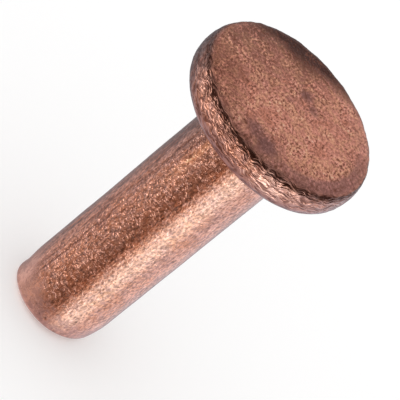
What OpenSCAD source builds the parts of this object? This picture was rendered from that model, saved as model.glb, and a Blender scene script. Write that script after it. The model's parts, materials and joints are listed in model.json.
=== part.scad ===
// Solid flat head rivet, 5 x 16, cold headed from soft copper wire.
//
// The axis is Z. The underside of the head lies in the plane Z = 0, the head
// is above it and the shank hangs below it. The whole rivet is one turned
// profile, made of straight lines and true arcs that run into each other.

/* [Shank] */
// Diameter of the shank
shank_d = 5.05; // [4:0.05:6.5]
// Length of the shank, from the underside of the head to the end of the tail
shank_len = 16; // [8:0.5:40]
// Radius of the fillet where the shank meets the head
neck_fillet_r = 0.25; // [0.1:0.05:0.5]

/* [Tail] */
// Length of the stretch that narrows towards the end of the tail
tail_len = 1.8; // [1:0.1:3]
// How far the surface draws in over that stretch, measured on the radius
tail_draw = 0.2; // [0.1:0.05:0.4]
// Radius of the edge round the flat end
tail_edge_r = 0.3; // [0.1:0.05:0.6]

/* [Head] */
// Diameter of the head at its widest
head_d = 10.2; // [9:0.1:13]
// Thickness of the head
head_t = 2.1; // [1.8:0.1:3]
// Width of the border outside the flat middle of the face
face_border_w = 1.45; // [1:0.05:2.5]
// How far the face has dropped where the border meets the rim
face_drop = 0.08; // [0.04:0.02:0.2]

/* [Rim] */
// Radius of the rim's upper edge, next to the face
rim_face_r = 0.6; // [0.3:0.05:0.75]
// Radius of the rim's lower edge, next to the seat
rim_seat_r = 0.8; // [0.3:0.05:0.9]
// Radius of the rim's bulging side, between the two edges
rim_side_r = 2.6; // [1.8:0.1:6]

/* [Hidden] */
$fn = 180;

// How far the cutters reach past the material
clear = 1;
// How far each arc stands through the larger one or the line that it runs
// into, so that the two always meet
lap = 0.0001;
// Angle over which the cutter of a long arc reaches past both of its ends
spread = 50;

shank_r = shank_d / 2;
head_r = head_d / 2;

// Tail: one long arc that starts flush with the shank, then the small edge arc
tail_z = -shank_len;
tail_arc_r = (tail_len * tail_len + tail_draw * tail_draw) / (2 * tail_draw);
tail_arc_c = [shank_r - tail_arc_r, tail_z + tail_len];
tail_edge_c = inner_arc_centre(tail_arc_c, tail_arc_r, tail_edge_r, tail_z + tail_edge_r);

// Rim: the side arc is widest halfway between the centres of the two edges
rim_face_z = head_t - face_drop - rim_face_r;
rim_side_c = [head_r - rim_side_r, (rim_face_z + rim_seat_r) / 2];
rim_face_c = inner_arc_centre(rim_side_c, rim_side_r, rim_face_r, rim_face_z);
rim_seat_c = inner_arc_centre(rim_side_c, rim_side_r, rim_seat_r, rim_seat_r);

// Border of the face: a straight line from the flat middle, tangent to the rim
face_flat_r = head_r - face_border_w;
border_start = [face_flat_r, head_t];
border_angle = angle_to(border_start, rim_face_c)
    + asin(rim_face_r / norm(rim_face_c - border_start));
border_end = border_start + (face_border_w + clear) * [1, tan(border_angle)];

// Direction from point a to point b, in degrees
function angle_to(a, b) = atan2(b[1] - a[1], b[0] - a[0]);

// The point that lies at a distance and an angle from c
function polar(c, distance, angle) = c + distance * [cos(angle), sin(angle)];

// Centre, at height z, of an arc of radius r that touches the arc of radius
// outer_r round outer_c from the inside
function inner_arc_centre(outer_c, outer_r, r, z) =
    [outer_c[0] + sqrt(pow(outer_r - r, 2) - pow(outer_c[1] - z, 2)), z];

// What lies outside the arc round c, from one angle to a larger one
module outside_arc(c, r, from, to) {
    reach = r + clear;
    middle = (from + to) / 2;
    difference() {
        polygon([
            c,
            polar(c, reach, from),
            polar(c, reach / cos((to - from) / 2), middle),
            polar(c, reach, to)
        ]);
        translate(c) circle(r = r);
    }
}

module head_profile() {
    difference() {
        square([head_r, head_t]);
        // The border of the face
        polygon([
            border_start,
            border_end,
            [border_end[0], head_t + clear],
            [border_start[0], head_t + clear]
        ]);
        // The rim, from the face down to the seat
        outside_arc(rim_face_c, rim_face_r + lap, angle_to(rim_side_c, rim_face_c), 90 + border_angle);
        outside_arc(rim_side_c, rim_side_r, -spread, spread);
        outside_arc(rim_seat_c, rim_seat_r + lap, -90, angle_to(rim_side_c, rim_seat_c));
    }
}

module neck_fillet_profile() {
    difference() {
        translate([shank_r, -neck_fillet_r]) square(neck_fillet_r);
        translate([shank_r + neck_fillet_r, -neck_fillet_r]) circle(r = neck_fillet_r);
    }
}

module shank_profile() {
    difference() {
        translate([0, tail_z]) square([shank_r, shank_len]);
        outside_arc(tail_arc_c, tail_arc_r + lap, -spread, 0);
        outside_arc(tail_edge_c, tail_edge_r + 2 * lap, -90, angle_to(tail_arc_c, tail_edge_c));
    }
}

// The whole rivet is one piece of metal
module rivet() {
    color([0.72, 0.46, 0.37])
        rotate_extrude()
            union() {
                head_profile();
                neck_fillet_profile();
                shank_profile();
            }
}

rivet();
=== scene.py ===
import json
import math

import bpy
import numpy as np
from mathutils import Matrix, Vector


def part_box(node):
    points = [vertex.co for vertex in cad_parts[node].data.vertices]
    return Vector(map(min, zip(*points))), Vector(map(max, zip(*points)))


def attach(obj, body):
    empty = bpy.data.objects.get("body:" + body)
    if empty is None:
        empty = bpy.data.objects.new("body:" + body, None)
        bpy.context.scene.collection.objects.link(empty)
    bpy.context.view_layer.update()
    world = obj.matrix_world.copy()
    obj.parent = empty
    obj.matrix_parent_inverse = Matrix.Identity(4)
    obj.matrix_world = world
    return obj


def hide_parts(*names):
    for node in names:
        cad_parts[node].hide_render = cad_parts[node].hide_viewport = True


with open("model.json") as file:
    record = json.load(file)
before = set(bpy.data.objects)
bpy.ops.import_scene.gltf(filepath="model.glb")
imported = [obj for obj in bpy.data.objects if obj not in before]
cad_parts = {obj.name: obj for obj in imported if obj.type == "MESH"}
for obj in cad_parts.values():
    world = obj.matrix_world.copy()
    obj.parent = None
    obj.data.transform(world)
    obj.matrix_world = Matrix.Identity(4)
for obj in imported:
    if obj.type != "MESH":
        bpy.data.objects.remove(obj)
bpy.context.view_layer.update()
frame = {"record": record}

# The rivet stands on its tail, and the seat of the head is at Z = 0. Shapes are worked out in
# millimetres and turned into metres when the mesh is made. Turns are degrees round the axis,
# from +X towards +Y, and the side at 270 faces the camera.
mm = 0.001
mounts = {m["name"]: m for m in frame["record"]["mounts"]}
lowCorner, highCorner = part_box("rivet")
shankR = mounts["shank"]["dims"]["r_mm"]
headR = (highCorner.x - lowCorner.x) / 2 / mm
faceZ = highCorner.z / mm
tailZ = lowCorner.z / mm


def fade(t):
    return t * t * t * (t * (t * 6 - 15) + 10)


def gradientNoise(points, seed):
    # smooth noise, about -1 to 1, one bump for each unit of length
    tableSize = 256
    rng = np.random.RandomState(seed)
    table = rng.permutation(tableSize)
    table = np.concatenate([table, table, table])
    slopes = rng.normal(size=(tableSize, 3))
    slopes /= np.linalg.norm(slopes, axis=1)[:, None]
    cell = np.floor(points).astype(int)
    inside = points - cell
    cell &= tableSize - 1
    ease = fade(inside)
    total = np.zeros(len(points))
    for dx in (0, 1):
        for dy in (0, 1):
            for dz in (0, 1):
                corner = table[table[table[cell[:, 0] + dx] + cell[:, 1] + dy] + cell[:, 2] + dz]
                away = inside - np.array([dx, dy, dz])
                weight = np.ones(len(points))
                for axis, d in enumerate((dx, dy, dz)):
                    weight = weight * (ease[:, axis] if d else 1 - ease[:, axis])
                total += weight * (slopes[corner] * away).sum(1)
    return total * 1.6


def layeredNoise(points, seed, octaves):
    # each octave is half as large and half as strong as the one before
    total, size = np.zeros(len(points)), 1.0
    for k in range(octaves):
        total += size * gradientNoise(points / size, seed + 17 * k)
        size *= 0.5
    return total / (2 - size * 2)


def smooth(low, high, x):
    t = np.clip((x - low) / (high - low), 0, 1)
    return t * t * (3 - 2 * t)


rivetForm = {
    "faceBorder": 1.45,      # mm, width of the border outside the flat of the face
    "faceDrop": 0.08,        # how far the border falls
    "rimFaceR": 0.6,         # rim edge next to the face
    "rimSeatR": 0.8,         # rim edge next to the seat
    "rimSideR": 2.6,         # bulge of the rim's side
    "neckR": 0.25,           # fillet under the head
    "tailLength": 1.8,       # stretch that narrows
    "tailDraw": 0.2,         # how far it narrows
    "tailEdgeR": 0.3,        # edge of the flat end
    "headSides": 512,        # points round the head
    "shankSides": 256,       # points round the shank
    "rimRings": 44,
    "seatRings": 9,
    "neckRings": 6,
    "shankRings": 150,
    "tailRings": 30,
}


def innerCentre(outer, outerR, r, z):
    # centre of an arc that touches a larger arc from the inside
    return np.array([outer[0] + math.sqrt((outerR - r) ** 2 - (outer[1] - z) ** 2), z])


def angleTo(a, b):
    return math.atan2(b[1] - a[1], b[0] - a[0])


def arc(centre, r, start, end):
    length = abs(r * (end - start))
    return {"kind": "arc", "c": centre, "r": r, "a": start, "b": end, "length": length}


def line(p, q):
    p, q = np.array(p, float), np.array(q, float)
    return {"kind": "line", "p": p, "q": q, "length": float(np.linalg.norm(q - p))}


def walk(pieces, count):
    # count points at even steps along arcs and lines, each with its outward normal
    total = sum(piece["length"] for piece in pieces)
    rows = []
    for s in np.linspace(0, total, count):
        for piece in pieces:
            if s <= piece["length"] + 1e-9 or piece is pieces[-1]:
                break
            s -= piece["length"]
        t = min(s / piece["length"], 1)
        if piece["kind"] == "line":
            spot = piece["p"] + (piece["q"] - piece["p"]) * t
            run = (piece["q"] - piece["p"]) / piece["length"]
            normal = np.array([-run[1], run[0]])
        else:
            angle = piece["a"] + (piece["b"] - piece["a"]) * t
            ray = np.array([math.cos(angle), math.sin(angle)])
            spot = piece["c"] + piece["r"] * ray
            normal = ray * (1 if piece["b"] < piece["a"] else -1)
        rows.append([*spot, *normal])
    return np.array(rows)


def section(form):
    # the profile in stretches, from the edge of the face down to the edge of the flat tail
    faceEdgeZ = faceZ - form["faceDrop"] - form["rimFaceR"]
    side = np.array([headR - form["rimSideR"], (faceEdgeZ + form["rimSeatR"]) / 2])
    upper = innerCentre(side, form["rimSideR"], form["rimFaceR"], faceEdgeZ)
    lower = innerCentre(side, form["rimSideR"], form["rimSeatR"], form["rimSeatR"])
    flat = np.array([headR - form["faceBorder"], faceZ])
    slope = angleTo(flat, upper) + math.asin(form["rimFaceR"] / np.linalg.norm(upper - flat))
    rim = [
        arc(upper, form["rimFaceR"], math.pi / 2 + slope, angleTo(side, upper)),
        arc(side, form["rimSideR"], angleTo(side, upper), angleTo(side, lower)),
        arc(lower, form["rimSeatR"], angleTo(side, lower), -math.pi / 2),
    ]
    neckX = shankR + form["neckR"]
    seat = line([lower[0], 0], [neckX, 0])
    neck = arc(np.array([neckX, -form["neckR"]]), form["neckR"], math.pi / 2, math.pi)
    drawR = (form["tailLength"] ** 2 + form["tailDraw"] ** 2) / (2 * form["tailDraw"])
    draw = np.array([shankR - drawR, tailZ + form["tailLength"]])
    edge = innerCentre(draw, drawR, form["tailEdgeR"], tailZ + form["tailEdgeR"])
    tail = [
        arc(draw, drawR, 0, angleTo(draw, edge)),
        arc(edge, form["tailEdgeR"], angleTo(draw, edge), -math.pi / 2),
    ]
    shank = line([shankR, -form["neckR"]], [shankR, draw[1]])
    return {
        "slope": slope,
        "flatR": flat[0],
        "rim": walk(rim, form["rimRings"]),
        "seat": walk([seat], form["seatRings"] + 1)[1:],
        "neck": walk([neck], form["neckRings"] + 1)[1:],
        "shank": walk([shank], form["shankRings"] + 1)[1:],
        "tail": walk(tail, form["tailRings"] + 1)[1:],
    }


def discGrid(cells):
    # a square grid bent into a disc of radius 1: positions, faces and the edge points in order
    steps = np.linspace(-1, 1, cells + 1)
    gx, gy = np.meshgrid(steps, steps, indexing="ij")
    wide = np.abs(gx) >= np.abs(gy)
    big = np.where(wide, gx, gy)
    small = np.where(wide, gy, gx)
    turn = math.pi / 4 * small / np.where(big == 0, 1, big)
    px = np.where(wide, big * np.cos(turn), big * np.sin(turn))
    py = np.where(wide, big * np.sin(turn), big * np.cos(turn))
    index = np.arange((cells + 1) ** 2).reshape(cells + 1, cells + 1)
    corners = [index[:-1, :-1], index[1:, :-1], index[1:, 1:], index[:-1, 1:]]
    quads = np.stack(corners, -1).reshape(-1, 4)
    sides = [index[-1, :-1], index[::-1, -1][:-1], index[0, ::-1][:-1], index[:, 0][:-1]]
    return np.stack([px.ravel(), py.ravel()], 1), quads, np.concatenate(sides)


def rivetMesh(form):
    cut = section(form)
    sides, fewer = form["headSides"], form["shankSides"]
    points, normals, faces = [], [], []

    def add(pos, nor):
        start = sum(len(p) for p in points)
        points.append(pos)
        normals.append(nor)
        return start

    def ring(row, angles):
        r, z, nr, nz = row
        c, s = np.cos(angles), np.sin(angles)
        start = add(np.stack([r * c, r * s, np.full_like(c, z)], 1),
                    np.stack([nr * c, nr * s, np.full_like(c, nz)], 1))
        return start + np.arange(len(angles))

    def bridge(upper, lower):
        nextUpper, nextLower = np.roll(upper, -1), np.roll(lower, -1)
        faces.extend(np.stack([upper, lower, nextLower, nextUpper], 1).tolist())

    # face of the head, inside the first ring of the rim
    disc, quads, edge = discGrid(sides // 4)
    faceR = cut["rim"][0, 0]
    beyondFlat = np.linalg.norm(disc, axis=1) * faceR - cut["flatR"]
    z = faceZ - np.maximum(0, beyondFlat * math.tan(-cut["slope"]))
    add(np.column_stack([disc * faceR, z]), np.tile([0.0, 0.0, 1.0], (len(disc), 1)))
    faces.extend(quads.tolist())
    angles = np.arctan2(disc[edge, 1], disc[edge, 0])
    previous = edge
    for row in cut["rim"][1:]:
        current = ring(row, angles)
        bridge(previous, current)
        previous = current

    # under the head every second point ends, as the shank needs fewer
    coarse = angles[::2]
    current = ring(cut["seat"][0], coarse)
    for k in range(fewer):
        a, b, c = previous[2 * k], previous[2 * k + 1], previous[(2 * k + 2) % sides]
        p, q = current[k], current[(k + 1) % fewer]
        faces.extend([[a, p, b], [b, p, q], [b, q, c]])
    previous = current
    for row in [*cut["seat"][1:], *cut["neck"], *cut["shank"], *cut["tail"]]:
        current = ring(row, coarse)
        bridge(previous, current)
        previous = current

    # flat end of the tail
    disc, quads, edge = discGrid(fewer // 4)
    turn = np.arctan2(disc[edge, 1], disc[edge, 0]) - coarse[0] + 1e-6
    edge = edge[np.argsort(np.mod(turn, 2 * math.pi))]
    endR = cut["tail"][-1, 0]
    inner = np.setdiff1d(np.arange(len(disc)), edge)
    start = add(np.column_stack([disc[inner] * endR, np.full(len(inner), tailZ)]),
                np.tile([0.0, 0.0, -1.0], (len(inner), 1)))
    place = np.empty(len(disc), int)
    place[inner] = start + np.arange(len(inner))
    place[edge] = previous
    faces.extend(place[quads][:, ::-1].tolist())
    return np.concatenate(points), np.concatenate(normals), faces


print("rivet: section and mesh")
points, normals, faces = rivetMesh(rivetForm)


wear = {
    "headZ": (-0.3, 0.0),          # mm, the head starts between these heights
    "faceUp": (0.7, 0.98),         # how far a normal points up on the face
    "seatDown": (0.6, 0.97),       # the same, down, on the seat
    "headLean": 0.005,             # slope of the head across X
    "headLeanZ": (-0.5, 0),        # mm, it grows between these heights
    "headGrowth": 0.02,            # mm
    "headBulges": [(50, 45, 0.07), (180, 35, 0.06)],   # turn, spread, mm out of round
    "headGrowthZ": (-0.2, 0.3),
    "neckSwell": 0.055,            # mm, the shank is thicker on one side
    "neckSwellSide": (190, 50),    # turn and spread, as every side is given here
    "neckSwellZ": (-11, -3),       # it grows between these heights
    "tailLean": (0.055, -0.004),   # slopes of the cut end along X and Y
    "tailRaise": 0.03,             # mm
    "tailBurr": 0.16,              # mm, the edge of the end is sharper on the long side
    "tailBurrSide": (183, 40),
    "tailBurrSize": 0.42,          # mm
    "tailBurrDrop": 0.6,           # how far down it goes for each mm out
    "tailFinish": (0.6, 2.0),      # mm above the end, where the shank's finish starts
    "tailFinishLift": 0.7,         # mm, it starts higher on one side
    "tailFinishSide": (215, 45),
    "tailFinishRagged": 0.35,      # mm, how ragged its border is
    "tailFinishPatch": 0.8,        # mm, length of the tongues along it
    "lipHeight": 0.06,             # mm, sharp edge where the face breaks into the rim
    "lipAngle": 46,                # degrees up the rim's edge
    "lipSpread": 13,
    "lipWander": 5,                # degrees
    "lipWanderSize": 0.7,          # mm
    "lipUneven": 0.5,              # how much the height of the lip varies
    "lipUnevenSize": 0.9,
    "lipZ": (0.2, 1.0),            # mm, it fades in between these heights
    "creases": [(38, 7, 1.0), (26, 12, 0.55)],   # painted shade below the lip: angle, spread, strength
    "creaseGap": 0.75,             # how much of that painted shade is missing on one side
    "creaseGapSide": (197, 43),
    "wrinkleDepth": 0.018,         # mm, wrinkles round the rim
    "wrinkleLength": 0.55,
    "wrinkleWidth": 0.20,
    "wrinkleSlant": 0.6,
    "wrinkleWander": 0.8,          # how far they run out of true, in widths
    "wrinkleWanderSize": 0.5,
    "wrinkleFine": 0.6,            # a second set: its depth, and how much finer it is
    "wrinkleFiner": 1.9,
    "wrinkleLow": 0.4,             # how deep they still are next to the seat
    "wrinkleLowZ": (0.3, 1.2),
    "dentDepth": 0.003,            # mm, soft dents along the shank
    "dentSize": 0.35,
    "drawLineDepth": 0.008,        # mm, lines left along the shank by the drawing die
    "drawLineWidth": 0.24,
    "drawLineLength": 2.6,
    "drawLineSide": (222, 26),
    "drawLineElsewhere": 0.15,     # how deep they are on the other side
    "scratchSide": (240, 20),      # short scratches
    "scratchElsewhere": 0.06,
    "skinGap": 0.6,                # how much smoother one side of the shank is
    "skinGapSide": (268, 13),
    "endSkin": 0.5,                # how much of that skin the end of the tail has
    "swellDepth": 0.012,           # mm, slow waves everywhere
    "swellSize": 2.5,
    "faceWaveDepth": 0.010,
    "faceWaveSize": 1.2,
    "faceGrainDepth": 0.004,
    "faceGrainSize": 0.25,
    "pitCount": 70,                # small pits in the face
    "pitDepth": 0.012,
    "pitSize": 0.06,
    "pitSizes": (0.8, 1.6),        # the least and the greatest, in pit sizes
    "pitReach": 0.93,              # how far out they lie, in radii of the head
    "pitZone": 0.3,                # mm, none is lower than this under the face
    "knocks": [                    # x, y, size, depth in pits
        (-0.02, 1.48, 0.07, 0.9), (0.10, 1.28, 0.08, 0.8), (0.86, 1.08, 0.08, 0.8),
        (0.70, 1.17, 0.07, 0.6), (-3.6, 1.5, 0.09, 0.9), (-3.3, 0.2, 0.08, 0.8)],
    "scores": [                    # x and y of both ends, width, depth in pits
        (-0.16, 0.48, 1.32, 1.29, 0.04, 0.5), (-0.28, 1.75, 0.12, 1.30, 0.06, 0.9),
        (0.4, 0.1, 1.1, 0.75, 0.04, 0.4), (-2.9, 1.6, -2.4, 1.2, 0.05, 0.5)],
    "nickDepth": 0.02,             # mm, nicks near the end of the tail
    "nicks": [                     # turn, z, size, strength
        (278, -15.38, 0.07, 1.0), (270, -15.45, 0.05, 0.7), (258, -15.2, 0.05, 0.5)],
}


def bell(x, width):
    return np.exp(-(x / width) ** 2)


def turnFrom(points, turn):
    # angle round the axis, measured from a given turn, -180 to 180
    angle = np.degrees(np.arctan2(points[:, 1], points[:, 0])) - turn
    return (angle + 180) % 360 - 180


def onSide(points, turn, spread, shift=0):
    # 1 at the given turn, fading to 0 on both sides of it
    return bell(turnFrom(points, turn) + shift, spread)


def nearSpot(flat, x, y, size):
    return bell(np.hypot(flat[:, 0] - x, flat[:, 1] - y), size)


def roundTheAxis(points, radius, along, stretch):
    # place on a cylinder, so that noise can be long in one direction and still close on itself
    turn = np.arctan2(points[:, 1], points[:, 0])
    across = radius / stretch
    return np.stack([np.cos(turn) * across, np.sin(turn) * across, along], 1)


def zones(points, normals, look):
    # how much each point belongs to each part of the surface, 0 to 1
    z = points[:, 2]
    head = smooth(*look["headZ"], z)
    lift = look["tailFinishLift"] * onSide(points, *look["tailFinishSide"])
    ragged = look["tailFinishRagged"] * gradientNoise(points / look["tailFinishPatch"], 3)
    start, stop = look["tailFinish"]
    end = 1 - smooth(tailZ + start, tailZ + stop, z - lift + ragged)
    face = head * smooth(*look["faceUp"], normals[:, 2])
    seat = head * smooth(*look["seatDown"], -normals[:, 2])
    return {"face": face, "rim": head * (1 - face) * (1 - seat),
            "shank": (1 - head) * (1 - end), "end": (1 - head) * end}


def pitMap(points, look):
    # pits, knocks and scores in the face, 0 to 1
    rng = np.random.RandomState(7)
    r = headR * look["pitReach"] * np.sqrt(rng.uniform(size=look["pitCount"]))
    turn = rng.uniform(0, 2 * math.pi, look["pitCount"])
    sizes = look["pitSize"] * rng.uniform(*look["pitSizes"], look["pitCount"])
    near = points[:, 2] > faceZ - look["pitZone"]
    flat = points[near, :2]
    sink = np.zeros(len(flat))
    for px, py, size in zip(r * np.cos(turn), r * np.sin(turn), sizes):
        sink = np.maximum(sink, nearSpot(flat, px, py, size))
    for px, py, size, depth in look["knocks"]:
        sink = np.maximum(sink, depth * nearSpot(flat, px, py, size))
    for ax, ay, bx, by, width, depth in look["scores"]:
        along = np.array([bx - ax, by - ay])
        part = np.clip((flat - [ax, ay]) @ along / (along @ along), 0, 1)
        apart = np.hypot(*(flat - [ax, ay] - part[:, None] * along).T)
        sink = np.maximum(sink, depth * bell(apart, width))
    total = np.zeros(len(points))
    total[near] = sink
    return total


def nickMap(points, look):
    x, y, z = points.T
    total = np.zeros(len(points))
    for turn, high, size, strength in look["nicks"]:
        sideways = np.radians(turnFrom(points, turn)) * np.hypot(x, y)
        total = np.maximum(total, strength * bell(np.hypot(sideways, z - high), size))
    return total


def drawnSide(points, look):
    return look["drawLineElsewhere"] + onSide(points, *look["drawLineSide"])


def slopeAngle(points, normals, look):
    # how far the surface faces up, in degrees, with a little wander
    angle = np.degrees(np.arcsin(np.clip(normals[:, 2], -1, 1)))
    return angle + look["lipWander"] * gradientNoise(points / look["lipWanderSize"], 101)


def surfaceMarks(points, angle, zone, look):
    # strength of each kind of wear, and of the painted shade under the lip, at each point, 0 to 1
    # painted shade: a dark band in the groove under the lip, at these angles up the rim
    crease = np.zeros(len(points))
    for middle, spread, strength in look["creases"]:
        crease += strength * bell(angle - middle, spread)
    crease = smooth(*look["lipZ"], points[:, 2]) * np.clip(crease, 0, 1)
    crease *= 1 - look["creaseGap"] * onSide(points, *look["creaseGapSide"])
    drawn = zone["shank"] * np.minimum(drawnSide(points, look), 1)
    base = look["scratchElsewhere"]
    scratched = zone["shank"] * (base + (1 - base) * onSide(points, *look["scratchSide"]))
    skin = zone["shank"] * (1 - look["skinGap"] * onSide(points, *look["skinGapSide"]))
    return {"crease": crease, "drawn": drawn, "scratched": scratched,
            "skin": skin + look["endSkin"] * zone["end"],
            "pits": zone["face"] * pitMap(points, look),
            "nicks": nickMap(points, look)}


def surfacePlaces(points, look):
    # places for the noise that follows the rim's wrinkles and the shank's drawing lines
    x, y, z = points.T
    down = (z - look["wrinkleSlant"] * np.hypot(x, y)) / look["wrinkleWidth"]
    down += look["wrinkleWander"] * gradientNoise(points / look["wrinkleWanderSize"], 5)
    return {"rimPlace": roundTheAxis(points, headR, down, look["wrinkleLength"]),
            "linePlace": roundTheAxis(points, shankR, z / look["drawLineLength"],
                                      look["drawLineWidth"])}


def relief(points, angle, zone, marks, places, look):
    # how far each point moves out along its normal
    z = points[:, 2]
    lip = np.exp(-np.abs(angle - look["lipAngle"]) / look["lipSpread"])
    uneven = look["lipUneven"] * gradientNoise(points / look["lipUnevenSize"], 103)
    lip *= smooth(*look["lipZ"], z) * (1 + uneven)
    rimPlace = places["rimPlace"]
    fine = look["wrinkleFine"] * gradientNoise(rimPlace * look["wrinkleFiner"], 12)
    wrinkles = gradientNoise(rimPlace, 11) + fine
    low = look["wrinkleLow"]
    wrinkles *= zone["rim"] * (low + (1 - low) * smooth(*look["wrinkleLowZ"], z))
    dents = zone["shank"] * layeredNoise(points / look["dentSize"], 21, 2)
    lines = zone["shank"] * drawnSide(points, look) * gradientNoise(places["linePlace"], 31)
    swell = gradientNoise(points / look["swellSize"], 61)
    waves = (zone["face"] + zone["end"]) * layeredNoise(points / look["faceWaveSize"], 41, 2)
    grain = zone["face"] * layeredNoise(points / look["faceGrainSize"], 71, 2)
    neck = zone["shank"] * smooth(*look["neckSwellZ"], z) * onSide(points, *look["neckSwellSide"])
    return (look["lipHeight"] * lip + look["wrinkleDepth"] * wrinkles
            + look["dentDepth"] * dents + look["drawLineDepth"] * lines
            + look["swellDepth"] * swell + look["faceWaveDepth"] * waves
            + look["faceGrainDepth"] * grain + look["neckSwell"] * neck
            - look["pitDepth"] * marks["pits"] - look["nickDepth"] * marks["nicks"])


def knockedAbout(worn, points, look):
    # the head is a little out of round and out of level, and the tail is cut askew with a burr
    x, y, z = points.T
    r = np.hypot(x, y)
    bulge = look["headGrowth"]
    for turn, spread, size in look["headBulges"]:
        bulge = bulge + size * onSide(points, turn, spread)
    grown = 1 + smooth(*look["headGrowthZ"], z) * smooth(shankR, headR, r) * bulge / headR
    worn[:, :2] *= grown[:, None]
    worn[:, 2] += smooth(*look["headLeanZ"], z) * look["headLean"] * x
    leanX, leanY = look["tailLean"]
    nearTail = 1 - smooth(tailZ, tailZ + rivetForm["tailLength"], z)
    worn[:, 2] += nearTail * (look["tailRaise"] + leanX * x + leanY * y)
    fromCorner = np.hypot(r - shankR + rivetForm["tailDraw"], z - tailZ)
    burr = look["tailBurr"] * bell(fromCorner, look["tailBurrSize"])
    burr *= onSide(points, *look["tailBurrSide"])
    worn[:, :2] *= (1 + burr / shankR)[:, None]
    worn[:, 2] -= look["tailBurrDrop"] * burr
    return worn


print("rivet: wear")
zone = zones(points, normals, wear)
angle = slopeAngle(points, normals, wear)
marks = surfaceMarks(points, angle, zone, wear)
places = surfacePlaces(points, wear)
push = relief(points, angle, zone, marks, places, wear)
worn = knockedAbout(points + normals * push[:, None], points, wear)


stainsAndPaintedLight = {
    "patchSize": 1.6,          # mm, the two noises that roughen the edges of the stains
    "fineSize": 0.35,
    "landR": 3.85,             # mm, inside this the face is free of thin oxide
    "landShift": (0.22, -0.05),
    "landEdge": (-0.05, 0.2),  # mm, the oxide fades in between these
    "landRagged": (0.08, 0.05),    # shares of the two noises, here and below
    "purpleSide": (-25, 60),
    "darkSide": (111, 47),     # turn and spread of the painted shade on the far side of the face
    "darkNarrow": 0.3,         # mm in from the edge, where it is narrowest
    "darkWidth": 2.4,          # mm, how much wider it gets
    "darkEdge": (-0.2, 1.7),
    "darkEnds": (0.02, 0.6),   # how it tapers off to both sides
    "darkRagged": (0.35, 0.15),
    "darkRim": (0.5, 1.7),     # mm, it fades down the rim between these heights
    "darkRimFade": 0.8,
    "spots": [                 # x, y, size, strength
        (-0.25, -3.7, 0.75, 1.0), (0.7, -3.8, 0.95, 1.1), (0.0, 1.5, 0.42, 1.0),
        (0.8, 1.1, 0.38, 0.8), (-0.35, 0.2, 0.3, 0.4)],
    "spotEdge": (0.3, 1.1),    # a spot fades out between these, in sizes
    "spotRagged": (0.5, 0.25),
    "shades": [                # the same, for brown shade
        (-3.4, -1.95, 1.5, 0.47), (-2.6, -3.0, 1.2, 0.35)],
    "shadeEdge": (0.4, 1.2),
    "shadeRagged": (0.4, 0.2),
    "tones": [                 # x, y, size, how much lighter
        (-4.0, 1.2, 3.0, -0.38), (-0.4, 2.2, 1.2, -0.24), (4.4, 0.8, 1.1, -0.20),
        (-0.4, -1.6, 1.5, 0.17), (2.2, 0.6, 1.2, 0.10), (0.3, -3.6, 1.1, -0.27),
        (3.9, -2.25, 1.0, 0.06), (-4.6, 0.2, 0.8, -0.18), (-3.8, 1.9, 0.9, -0.20),
        (-2.2, 0.6, 1.0, -0.09), (2.2, -0.5, 0.9, 0.10)],
    "toneRagged": 0.3,         # share of the large noise, as the next three are
    "lowRagged": 0.2,
    "sootRagged": 8,
    "dullRagged": 0.6,
    "lowRim": (0.4, 1.25),     # mm, thin oxide and painted shade on the rim below these heights
    "sootSide": (193, 27),     # the sooty side of the rim
    "paleSide": (215, 42),     # the side of the tail's end with painted sheen
    "dull": 0.75,              # a darker grey patch on the shank next to the head
    "dullSide": (205, 30),
    "dullZ": (-9.5, -1.0),     # mm, it grows between these heights
    "streakSide": (243.5, 4.0),    # a painted highlight along the shank, next to the head
    "streakZ": (-6.5, -1.5),
}


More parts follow.
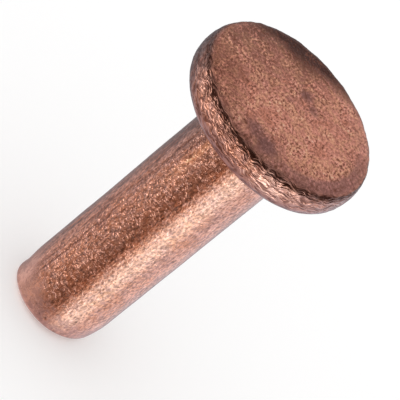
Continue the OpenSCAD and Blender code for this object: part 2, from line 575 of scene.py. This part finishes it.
def stainAndPaintedLightMasks(points, zone, look):
    # how strongly each stain, painted shade and painted highlight covers each point
    x, y, z = points.T
    r = np.hypot(x, y)
    patchy = layeredNoise(points / look["patchSize"], 81, 4)
    fine = layeredNoise(points / look["fineSize"], 91, 3)
    face, rim, shank = zone["face"], zone["rim"], zone["shank"]

    def ragged(patchyShare, fineShare):
        return patchyShare * patchy + fineShare * fine

    def blots(spots, edge, shares):
        # the strongest of a few ragged spots on the face
        total = np.zeros(len(points))
        for sx, sy, size, strength in spots:
            away = np.hypot(x - sx, y - sy) / size + ragged(*shares)
            total = np.maximum(total, face * strength * (1 - smooth(*edge, away)))
        return total

    # painted shade: the far side of the face and the rim next to it are painted near black
    dark = onSide(points, *look["darkSide"])
    inner = headR - look["darkNarrow"] - look["darkWidth"] * dark
    darkSide = smooth(*look["darkEdge"], r - inner + ragged(*look["darkRagged"]))
    darkSide *= (face + rim) * smooth(*look["darkEnds"], dark)
    downRim = 1 - smooth(*look["darkRim"], z + look["darkRagged"][0] * patchy)
    darkSide *= 1 - look["darkRimFade"] * rim * downRim

    landX, landY = look["landShift"]
    fromLand = np.hypot(x - landX, y - landY) - look["landR"] + ragged(*look["landRagged"])
    purple = (face + rim) * smooth(*look["landEdge"], fromLand)
    purple *= onSide(points, *look["purpleSide"])
    purple = np.maximum(purple, blots(look["spots"], look["spotEdge"], look["spotRagged"]))
    shade = blots(look["shades"], look["shadeEdge"], look["shadeRagged"])

    tone = np.zeros(len(points))
    for sx, sy, size, gain in look["tones"]:
        away = np.hypot(x - sx, y - sy) + look["toneRagged"] * size * patchy
        tone += face * gain * bell(away, size)

    # thin oxide and painted shade: the rim is darker purple towards the seat
    low = rim * (1 - smooth(*look["lowRim"], z + look["lowRagged"] * patchy))
    sooty = rim * onSide(points, *look["sootSide"], look["sootRagged"] * patchy)
    dull = look["dull"] * shank * onSide(points, *look["dullSide"])
    dull *= smooth(*look["dullZ"], z + look["dullRagged"] * patchy)
    # painted sheen: one side of the tail's end is lighter
    pale = zone["end"] * onSide(points, *look["paleSide"])
    # painted highlight: a bright streak along the shank, next to the head
    streak = shank * smooth(*look["streakZ"], z) * onSide(points, *look["streakSide"], fine)
    return {"darkSide": darkSide, "purple": purple, "shade": shade, "tone": tone, "low": low,
            "sooty": sooty, "dull": dull, "streak": streak, "pale": pale}


def makeRivet(worn, faces, masks, places):
    data = bpy.data.meshes.new("flatHeadRivet")
    data.from_pydata((worn * mm).tolist(), [], faces)
    data.update()
    data.shade_smooth()
    for name, values in masks.items():
        layer = data.attributes.new(name, "FLOAT", "POINT")
        layer.data.foreach_set("value", values.astype(np.float32))
    for name, values in places.items():
        layer = data.attributes.new(name, "FLOAT_VECTOR", "POINT")
        layer.data.foreach_set("vector", values.astype(np.float32).ravel())
    rivet = bpy.data.objects.new("flatHeadRivet", data)
    bpy.context.scene.collection.objects.link(rivet)
    return rivet


masks = {**zone, **marks, **stainAndPaintedLightMasks(points, zone, stainsAndPaintedLight)}
rivet = makeRivet(worn, faces, masks, places)
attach(rivet, "root")
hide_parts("rivet")


class Nodes:
    # makes the nodes of one shader tree and wires them up
    def __init__(self, owner):
        owner.use_nodes = True
        self.tree = owner.node_tree
        self.tree.nodes.clear()

    def put(self, kind, inputs=None, **settings):
        node = self.tree.nodes.new(kind)
        for key, value in settings.items():
            setattr(node, key, value)
        for key, value in (inputs or {}).items():
            if isinstance(value, bpy.types.NodeSocket):
                self.tree.links.new(value, node.inputs[key])
            else:
                node.inputs[key].default_value = value
        return node

    def math(self, operation, a, b=0.0, c=0.0):
        return self.put("ShaderNodeMath", {0: a, 1: b, 2: c}, operation=operation).outputs[0]

    def times(self, *factors):
        total = factors[0]
        for factor in factors[1:]:
            total = self.math("MULTIPLY", total, factor)
        return total

    def timesPlus(self, a, b, c):
        return self.math("MULTIPLY_ADD", a, b, c)

    def most(self, *values):
        total = values[0]
        for value in values[1:]:
            total = self.math("MAXIMUM", total, value)
        return total

    def mix(self, amount, a, b):
        inputs = {0: amount, 6: a, 7: b}
        return self.put("ShaderNodeMix", inputs, data_type="RGBA").outputs[2]

    def step(self, value, low, high):
        inputs = {0: value, 1: low, 2: high}
        return self.put("ShaderNodeMapRange", inputs, interpolation_type="SMOOTHSTEP").outputs[0]

    def ramp(self, value, stops):
        node = self.put("ShaderNodeValToRGB", {0: value})
        node.color_ramp.interpolation = "EASE"
        while len(node.color_ramp.elements) < len(stops):
            node.color_ramp.elements.new(0.5)
        for element, (at, colour) in zip(node.color_ramp.elements, stops):
            element.position = at
            element.color = (*colour[:3], 1)
        return node.outputs[0]

    def stored(self, name, output="Fac"):
        return self.put("ShaderNodeAttribute", attribute_name=name).outputs[output]

    def stretch(self, place, by):
        return self.put("ShaderNodeVectorMath", {0: place, 1: by}, operation="MULTIPLY").outputs[0]

    def scale(self, vector, by):
        return self.put("ShaderNodeVectorMath", {0: vector, 3: by}, operation="SCALE").outputs[0]

    def noise(self, place, scale, detail, distortion, roughness):
        inputs = {"Vector": place, "Scale": scale, "Detail": detail,
                  "Distortion": distortion, "Roughness": roughness}
        return self.put("ShaderNodeTexNoise", inputs).outputs[0]


copper = {
    "bare": (0.80, 0.41, 0.295, 1),
    "orange": (0.78, 0.34, 0.20, 1),
    "rose": (0.70, 0.40, 0.33, 1),
    # painted highlight along the shank by the head
    "burnished": (1.0, 0.52, 0.33, 1),
    "pale": (0.96, 0.55, 0.43, 1),        # painted sheen on one side of the tail's end
    "tan": (0.71, 0.375, 0.238, 1),       # the three tones of the worn face
    "pink": (0.68, 0.318, 0.242, 1),
    "umber": (0.52, 0.225, 0.152, 1),
    "purple": (0.42, 0.215, 0.19, 1),     # thin oxide, and painted shade low on the rim
    "soot": (0.062, 0.019, 0.013, 1),     # thick oxide, and painted shade on the far side of the face and under the lip
    "grime": (0.27, 0.185, 0.17, 1),      # grey: dirt on the sooty side, and a darker patch on the shank by the neck
    "dark": (0.180, 0.062, 0.042, 1),     # dirt in the folds
    "brown": (0.26, 0.10, 0.06, 1),       # dirt in the pits
    "roughness": 0.13,
    "stainRoughness": 0.30,
    "speckRoughness": 0.10,    # added to the roughness, as the next two are
    "endRoughness": 0.12,
    "faceRoughness": 0.06,
    # noise: waves for each mm, detail, distortion, roughness
    "patches": (0.7, 4.0, 0.4, 0.55),     # broad patches of orange
    "specks": (3.2, 3.0, 0.5, 0.55),      # rose and purple specks
    "blotches": (1.1, 4.0, 0.6, 0.6),     # the tones of the face
    "rubbed": (0.9, 3.0, 0.0, 0.55),      # where the face shows its grain most
    "sootSpecks": (2.4, 2.0, 0.5, 0.55),
    "peel": (7.5, 1.0, 0.4, 0.5),         # fine uneven skin of the shank
    "skinTones": (9.0, 1.0, 0.5, 0.5),    # fine light and dark flecks on the shank
    "streaks": (2.2, 2.0, 0.0, 0.5),      # long tones along the shank
    "hairs": (4.6, 1.0, 0.8, 0.5),        # short raised scratches
    "clusters": (4.0, 1.0, 0.0, 0.55),    # where those scratches are
    "lines": (1.0, 2.0, 0.2, 0.6),        # drawing lines
    "folds": (1.7, 1.0, 0.3, 0.5),        # wrinkles of the rim
    "grain": (8.6, 2.0, 0.2, 0.6),        # grain of the face
    "skinStretch": (1.0, 1.0, 0.5),
    "streakStretch": (1.0, 1.0, 0.1),
    "foldStretch": (0.7, 0.7, 1.0),
    "grainStretch": (1.0, 0.6, 1.0),
    "hairWidth": 0.09,
    "pitCells": 3.2,           # cells for each mm of the face, and a few hold a pit
    "pitLeast": -0.18,         # radius of a pit in cells, none where it stays below zero
    "pitGrow": 0.35,           # the most that chance adds to it
    "pitEdge": 0.10,           # how soft the edge of a pit is
    "faceTones": [             # the tone of the face at each value of its blotches
        (0.36, "umber"), (0.47, "pink"), (0.54, "tan"), (0.66, "pink")],
    "grainEverywhere": 0.42,   # how much of the grain shows all over the face
    "grainRubbed": 0.6,        # and how much more where it is rubbed
    "grainHidden": 0.4,        # how much of it thin oxide hides
    "streakSmooth": 0.7,       # how much smoother the shank is under the painted highlight
    "lowSmooth": 0.4,          # the same, for the low side of the rim
    # the noise values between which each stain fades in
    "orangeFrom": (0.45, 0.65),
    "roseFrom": (0.42, 0.6),
    "speckFrom": (0.55, 0.75),
    "sootFrom": (0.50, 0.62),
    "rubbedFrom": (0.38, 0.62),
    "clusterFrom": (0.42, 0.62),
    "roughFrom": (0.4, 0.7),
    "endSpeckFrom": (0.46, 0.60),
    "grainDirtFrom": (0.49, 0.34),    # dirt lies in the hollows, so it fades in downwards
    "peelDirtFrom": (0.50, 0.30),
    "foldDirtFrom": (0.56, 0.38),
    "lineDirtFrom": (0.52, 0.32),
    # how much of the colour each stain, painted shade and painted highlight covers, 0 to 1
    "orangeCover": 0.6,
    "roseCover": 0.5,
    "speckCover": 0.5,
    "purpleCover": 0.9,
    "rimPurpleCover": 0.4,
    "lowCover": 0.6,
    "sootyCover": 0.85,
    "sootSpeckCover": 0.75,
    "streakCover": 0.9,
    "faceCover": 0.85,
    "darkCover": 0.99,
    "pitCover": 0.8,
    "endCover": 0.35,
    "endSpeckCover": 0.45,
    "creaseCover": 0.72,
    "peelDirt": 0.35,
    "lineDirt": 0.6,
    "foldDirt": 0.74,
    "grainDirt": 1.2,
    # how strongly the noises lighten or darken the colour
    "grainTone": 6.0,
    "skinTone": 2.2,
    "endTone": 0.8,            # how much of that the end of the tail has
    "streakTone": 0.7,
    # mm, from the lowest to the highest value of each noise
    "peelHeight": 0.022,
    "hairHeight": 0.022,
    "lineHeight": 0.085,
    "foldHeight": 0.085,
    "grainHeight": 0.036,
}


def copperMaterial(look):
    material = bpy.data.materials.new("wornCopper")
    kit = Nodes(material)
    inMm = kit.scale(kit.put("ShaderNodeTexCoord").outputs["Object"], 1 / mm)

    def pattern(name, place=inMm):
        return kit.noise(place, *look[name])

    def coat(under, over, *amounts):
        # a colour laid over another, as thick as the amounts multiplied
        return kit.mix(kit.times(*amounts), under, over)

    face, rim, shank, end = (kit.stored(name) for name in ("face", "rim", "shank", "end"))
    purple, darkSide, sooty = (kit.stored(name) for name in ("purple", "darkSide", "sooty"))
    streak, low, drawn = (kit.stored(name) for name in ("streak", "low", "drawn"))
    specks = pattern("specks")
    peel = pattern("peel")
    fold = pattern("folds", kit.stretch(kit.stored("rimPlace", "Vector"), look["foldStretch"]))
    dieLines = pattern("lines", kit.stored("linePlace", "Vector"))
    grain = pattern("grain", kit.stretch(inMm, look["grainStretch"]))

    # copper with its oxides and soot, grey on the sooty side and by the neck, painted shade low on
    # the rim and a painted highlight along the shank
    colour = coat(look["bare"], look["orange"], kit.step(pattern("patches"), *look["orangeFrom"]),
                  look["orangeCover"])
    colour = coat(colour, look["rose"], kit.step(specks, *look["roseFrom"]), look["roseCover"])
    colour = coat(colour, look["purple"], kit.step(specks, *look["speckFrom"]), look["speckCover"])
    onRim = look["rimPurpleCover"] - look["purpleCover"]
    colour = coat(colour, look["purple"], purple, kit.timesPlus(rim, onRim, look["purpleCover"]))
    # thin oxide and painted shade, low on the rim by the seat
    colour = coat(colour, look["purple"], low, look["lowCover"])
    colour = coat(colour, look["grime"], sooty, look["sootyCover"])
    sootSpecks = kit.step(pattern("sootSpecks"), *look["sootFrom"])
    colour = coat(colour, look["soot"], sooty, sootSpecks, look["sootSpeckCover"])
    colour = coat(colour, look["grime"], kit.stored("dull"))
    # painted highlight: a bright streak along the shank, next to the head
    colour = coat(colour, look["burnished"], streak, look["streakCover"])

    # the worn face
    tones = [(at, look[name]) for at, name in look["faceTones"]]
    faceColour = kit.ramp(pattern("blotches"), tones)
    faceColour = coat(faceColour, look["purple"], purple, look["purpleCover"])
    colour = coat(colour, faceColour, face, look["faceCover"])
    colour = coat(colour, look["brown"], kit.stored("shade"))
    # painted shade: the far side of the face is painted near black
    colour = coat(colour, look["soot"], darkSide, look["darkCover"])
    rubbed = kit.step(pattern("rubbed"), *look["rubbedFrom"])
    rubbed = kit.timesPlus(rubbed, look["grainRubbed"], look["grainEverywhere"])
    rubbed = kit.times(face, rubbed, kit.timesPlus(purple, -look["grainHidden"], 1.0))
    light = kit.times(kit.most(kit.math("SUBTRACT", grain, 0.5), 0.0), look["grainTone"])
    tone = kit.math("ADD", kit.stored("tone"), 1.0)
    colour = kit.scale(colour, kit.timesPlus(light, rubbed, tone))
    grainDirt = kit.step(grain, *look["grainDirtFrom"])
    colour = coat(colour, look["brown"], grainDirt, rubbed, look["grainDirt"])

    # small pits: the chance colour of each cell says how large its pit is, if it has one
    cell = kit.put("ShaderNodeTexVoronoi", {"Vector": inMm, "Scale": look["pitCells"]}).outputs
    pitSize = kit.put("ShaderNodeSeparateColor", {0: cell["Color"]}).outputs[0]
    pitSize = kit.timesPlus(pitSize, look["pitGrow"], look["pitLeast"])
    inPit = kit.step(kit.math("SUBTRACT", cell["Distance"], pitSize), look["pitEdge"], 0.0)
    pits = kit.most(kit.stored("pits"), kit.times(inPit, face))
    colour = coat(colour, look["brown"], pits, look["pitCover"])

    # skin of the shank and the tail
    peelDirt = kit.step(peel, *look["peelDirtFrom"])
    colour = coat(colour, look["brown"], peelDirt, shank, look["peelDirt"])
    flecks = pattern("skinTones", kit.stretch(inMm, look["skinStretch"]))
    flecks = kit.math("SUBTRACT", flecks, 0.5)
    flecks = kit.times(flecks, kit.timesPlus(end, look["endTone"], shank), look["skinTone"])
    streaks = pattern("streaks", kit.stretch(inMm, look["streakStretch"]))
    streaks = kit.times(kit.math("SUBTRACT", streaks, 0.5), shank, look["streakTone"])
    colour = kit.scale(colour, kit.math("ADD", kit.math("ADD", flecks, streaks), 1.0))
    colour = coat(colour, look["purple"], end, look["endCover"])
    # painted sheen: one side of the tail's end is painted pale pink
    colour = coat(colour, look["pale"], kit.stored("pale"))
    endSpecks = kit.step(specks, *look["endSpeckFrom"])
    colour = coat(colour, look["purple"], endSpecks, end, look["endSpeckCover"])

    # dirt in the nicks, the folds and the drawing lines, and painted shade under the lip
    colour = coat(colour, look["soot"], kit.stored("nicks"))
    foldDirt = kit.times(kit.step(fold, *look["foldDirtFrom"]), rim, look["foldDirt"])
    lineDirt = kit.times(kit.step(dieLines, *look["lineDirtFrom"]), drawn, look["lineDirt"])
    colour = coat(colour, look["dark"], kit.most(foldDirt, lineDirt))
    # painted shade: a near-black band under the lip
    colour = coat(colour, look["soot"], kit.stored("crease"), look["creaseCover"])

    # rougher on the face's thin oxide and on its painted shade
    stainAndShade = kit.times(kit.most(purple, darkSide), face)
    rough = kit.timesPlus(stainAndShade, look["stainRoughness"] - look["roughness"], look["roughness"])
    rough = kit.timesPlus(kit.step(specks, *look["roughFrom"]), look["speckRoughness"], rough)
    rough = kit.timesPlus(end, look["endRoughness"], rough)
    rough = kit.timesPlus(face, look["faceRoughness"], rough)

    # raised hairs run where their noise crosses its middle
    off = kit.math("ABSOLUTE", kit.math("SUBTRACT", pattern("hairs"), 0.5))
    inCluster = kit.step(pattern("clusters"), *look["clusterFrom"])
    hairs = kit.times(kit.step(off, look["hairWidth"], 0.0), inCluster)
    height = kit.times(peel, kit.stored("skin"), look["peelHeight"])
    height = kit.timesPlus(hairs, kit.times(kit.stored("scratched"), look["hairHeight"]), height)
    height = kit.timesPlus(dieLines, kit.times(drawn, look["lineHeight"]), height)
    height = kit.times(height, kit.timesPlus(streak, -look["streakSmooth"], 1.0))
    foldHeight = kit.times(rim, kit.timesPlus(low, -look["lowSmooth"], 1.0), look["foldHeight"])
    height = kit.timesPlus(fold, foldHeight, height)
    height = kit.timesPlus(grain, kit.times(face, look["grainHeight"]), height)
    bump = kit.put("ShaderNodeBump", {"Strength": 1.0, "Distance": mm, "Height": height})
    shader = kit.put("ShaderNodeBsdfPrincipled", {
        "Base Color": colour, "Metallic": 1.0, "Roughness": rough, "Normal": bump.outputs[0]})
    kit.put("ShaderNodeOutputMaterial", {"Surface": shader.outputs[0]})
    return material


print("rivet: copper")
rivet.data.materials.append(copperMaterial(copper))


# The studio round the rivet, as the metal sees it. Each stop is a direction in degrees round the
# axis from the camera's side, positive to the right, and the red, green and blue there.
studio = {
    "low": [
        (-180, 0.30, 0.31, 0.34), (-150, 0.34, 0.32, 0.34), (-125, 0.49, 0.45, 0.47),
        (-104, 0.70, 0.63, 0.64), (-82, 0.34, 0.27, 0.25), (-64, 0.42, 0.335, 0.30),
        (-53, 0.72, 0.56, 0.47), (-43, 0.40, 0.305, 0.255), (-20, 0.32, 0.225, 0.18),
        (2, 0.195, 0.118, 0.084), (17, 0.43, 0.275, 0.205), (31, 0.88, 0.83, 0.78),
        (46, 1.24, 1.45, 1.52), (64, 1.30, 1.53, 1.60), (82, 0.85, 0.87, 0.94),
        (98, 0.74, 0.75, 0.83), (116, 0.95, 0.96, 1.05), (145, 0.75, 0.77, 0.86),
        (180, 0.30, 0.31, 0.34)],
    "middle": [
        (-180, 0.36, 0.35, 0.38), (-150, 0.24, 0.22, 0.23), (-110, 0.50, 0.45, 0.44),
        (-90, 1.60, 1.52, 1.52), (-72, 2.60, 2.55, 2.55), (-46, 2.60, 2.55, 2.55),
        (-28, 2.50, 2.42, 2.35), (0, 2.40, 2.30, 2.25), (24, 2.60, 2.65, 2.65),
        (42, 3.20, 3.50, 3.60), (74, 2.80, 3.10, 3.20), (95, 0.80, 0.78, 0.80),
        (120, 0.42, 0.40, 0.42), (180, 0.36, 0.35, 0.38)],
    "top": [
        (-180, 0.68, 0.575, 0.555), (-140, 0.52, 0.44, 0.43), (-105, 0.16, 0.13, 0.13),
        (-60, 0.15, 0.11, 0.10), (60, 0.15, 0.11, 0.10), (105, 0.16, 0.13, 0.13),
        (140, 0.52, 0.44, 0.43), (180, 0.68, 0.575, 0.555)],
    "crown": [
        (-180, 0.35, 0.30, 0.30), (-120, 0.26, 0.23, 0.23), (-90, 0.06, 0.045, 0.04),
        (90, 0.06, 0.045, 0.04), (120, 0.26, 0.23, 0.23), (180, 0.35, 0.30, 0.30)],
    "bottom": (0.62, 0.58, 0.63, 1),
    "edges": {                    # where each ring starts, in degrees above the level
        "low": (-58, -43), "middle": (-26, -16), "top": (-10, 2), "crown": (36, 50)},
    "backdrop": (1, 1, 1, 1),
    "floorColour": (0.80, 0.80, 0.80, 1),
    "floorGlow": 0.22,
    "floorSize": 6.0,             # m
}


def studioWorld(look):
    world = bpy.data.worlds.new("studio")
    kit = Nodes(world)
    way = kit.put("ShaderNodeTexCoord").outputs["Generated"]
    axes = kit.put("ShaderNodeSeparateXYZ", {0: way}).outputs
    turn = kit.math("ARCTAN2", axes[0], kit.times(axes[1], -1.0))
    around = kit.timesPlus(turn, 0.5 / math.pi, 0.5)
    rise = kit.times(kit.math("ARCSINE", axes[2]), 180 / math.pi)
    seen = look["bottom"]
    for name, edge in look["edges"].items():
        ring = kit.ramp(around, [(0.5 + at / 360, colour) for at, *colour in look[name]])
        seen = kit.mix(kit.step(rise, *edge), seen, ring)
    path = kit.put("ShaderNodeLightPath").outputs
    colour = kit.mix(path["Is Glossy Ray"], look["backdrop"], seen)
    background = kit.put("ShaderNodeBackground", {0: colour, 1: 1.0})
    kit.put("ShaderNodeOutputWorld", {0: background.outputs[0]})
    bpy.context.scene.world = world


def floorMaterial(look):
    material = bpy.data.materials.new("paleFloor")
    kit = Nodes(material)
    path = kit.put("ShaderNodeLightPath").outputs
    seen = kit.most(path["Is Camera Ray"], path["Is Glossy Ray"], path["Is Transmission Ray"])
    lit = kit.put("ShaderNodeBsdfDiffuse", {0: look["floorColour"]}).outputs[0]
    glow = kit.put("ShaderNodeEmission", {1: kit.times(seen, look["floorGlow"])}).outputs[0]
    both = kit.put("ShaderNodeAddShader", {0: lit, 1: glow}).outputs[0]
    clear = kit.put("ShaderNodeBsdfTransparent").outputs[0]
    below = kit.put("ShaderNodeNewGeometry").outputs["Backfacing"]
    surface = kit.put("ShaderNodeMixShader", {0: below, 1: both, 2: clear}).outputs[0]
    kit.put("ShaderNodeOutputMaterial", {"Surface": surface})
    return material


def paleFloor(look, level):
    half = look["floorSize"] / 2
    corners = [(-half, -half), (half, -half), (half, half), (-half, half)]
    data = bpy.data.meshes.new("floor")
    data.from_pydata([(x, y, level) for x, y in corners], [], [(0, 1, 2, 3)])
    data.materials.append(floorMaterial(look))
    floor = bpy.data.objects.new("floor", data)
    bpy.context.scene.collection.objects.link(floor)
    floor.visible_glossy = False      # the metal sees the studio instead
    floor.visible_shadow = False
    floor.visible_diffuse = False


cameraPlace = {
    "rise": 34.05,            # degrees above the plane of the seat
    "roll": 50.89,            # degrees, so that the rivet leans up to the right
    "distance": 254.86,       # mm from the lens to the plane of the seat's middle
    "right": 3.089,           # mm from the middle of the picture to the middle of the seat
    "up": 3.348,
    "lens": 479.12,
    "clip": (0.01, 20),       # m
}


def makeCamera(look):
    rise, roll = math.radians(look["rise"]), math.radians(look["roll"])
    back = Vector((0, -math.cos(rise), math.sin(rise)))
    level = Vector((1, 0, 0))
    upright = back.cross(level)
    right = level * math.cos(roll) + upright * math.sin(roll)
    up = upright * math.cos(roll) - level * math.sin(roll)
    spot = (back * look["distance"] - right * look["right"] - up * look["up"]) * mm
    data = bpy.data.cameras.new("camera")
    data.lens = look["lens"]
    data.clip_start, data.clip_end = look["clip"]
    camera = bpy.data.objects.new("camera", data)
    turned = Matrix((right, up, back)).transposed().to_4x4()
    camera.matrix_world = Matrix.Translation(spot) @ turned
    bpy.context.scene.collection.objects.link(camera)
    bpy.context.scene.camera = camera


print("studio: light, floor and camera")
studioWorld(studio)
paleFloor(studio, worn[:, 2].min() * mm)
makeCamera(cameraPlace)
bpy.context.scene.view_settings.view_transform = "Standard"
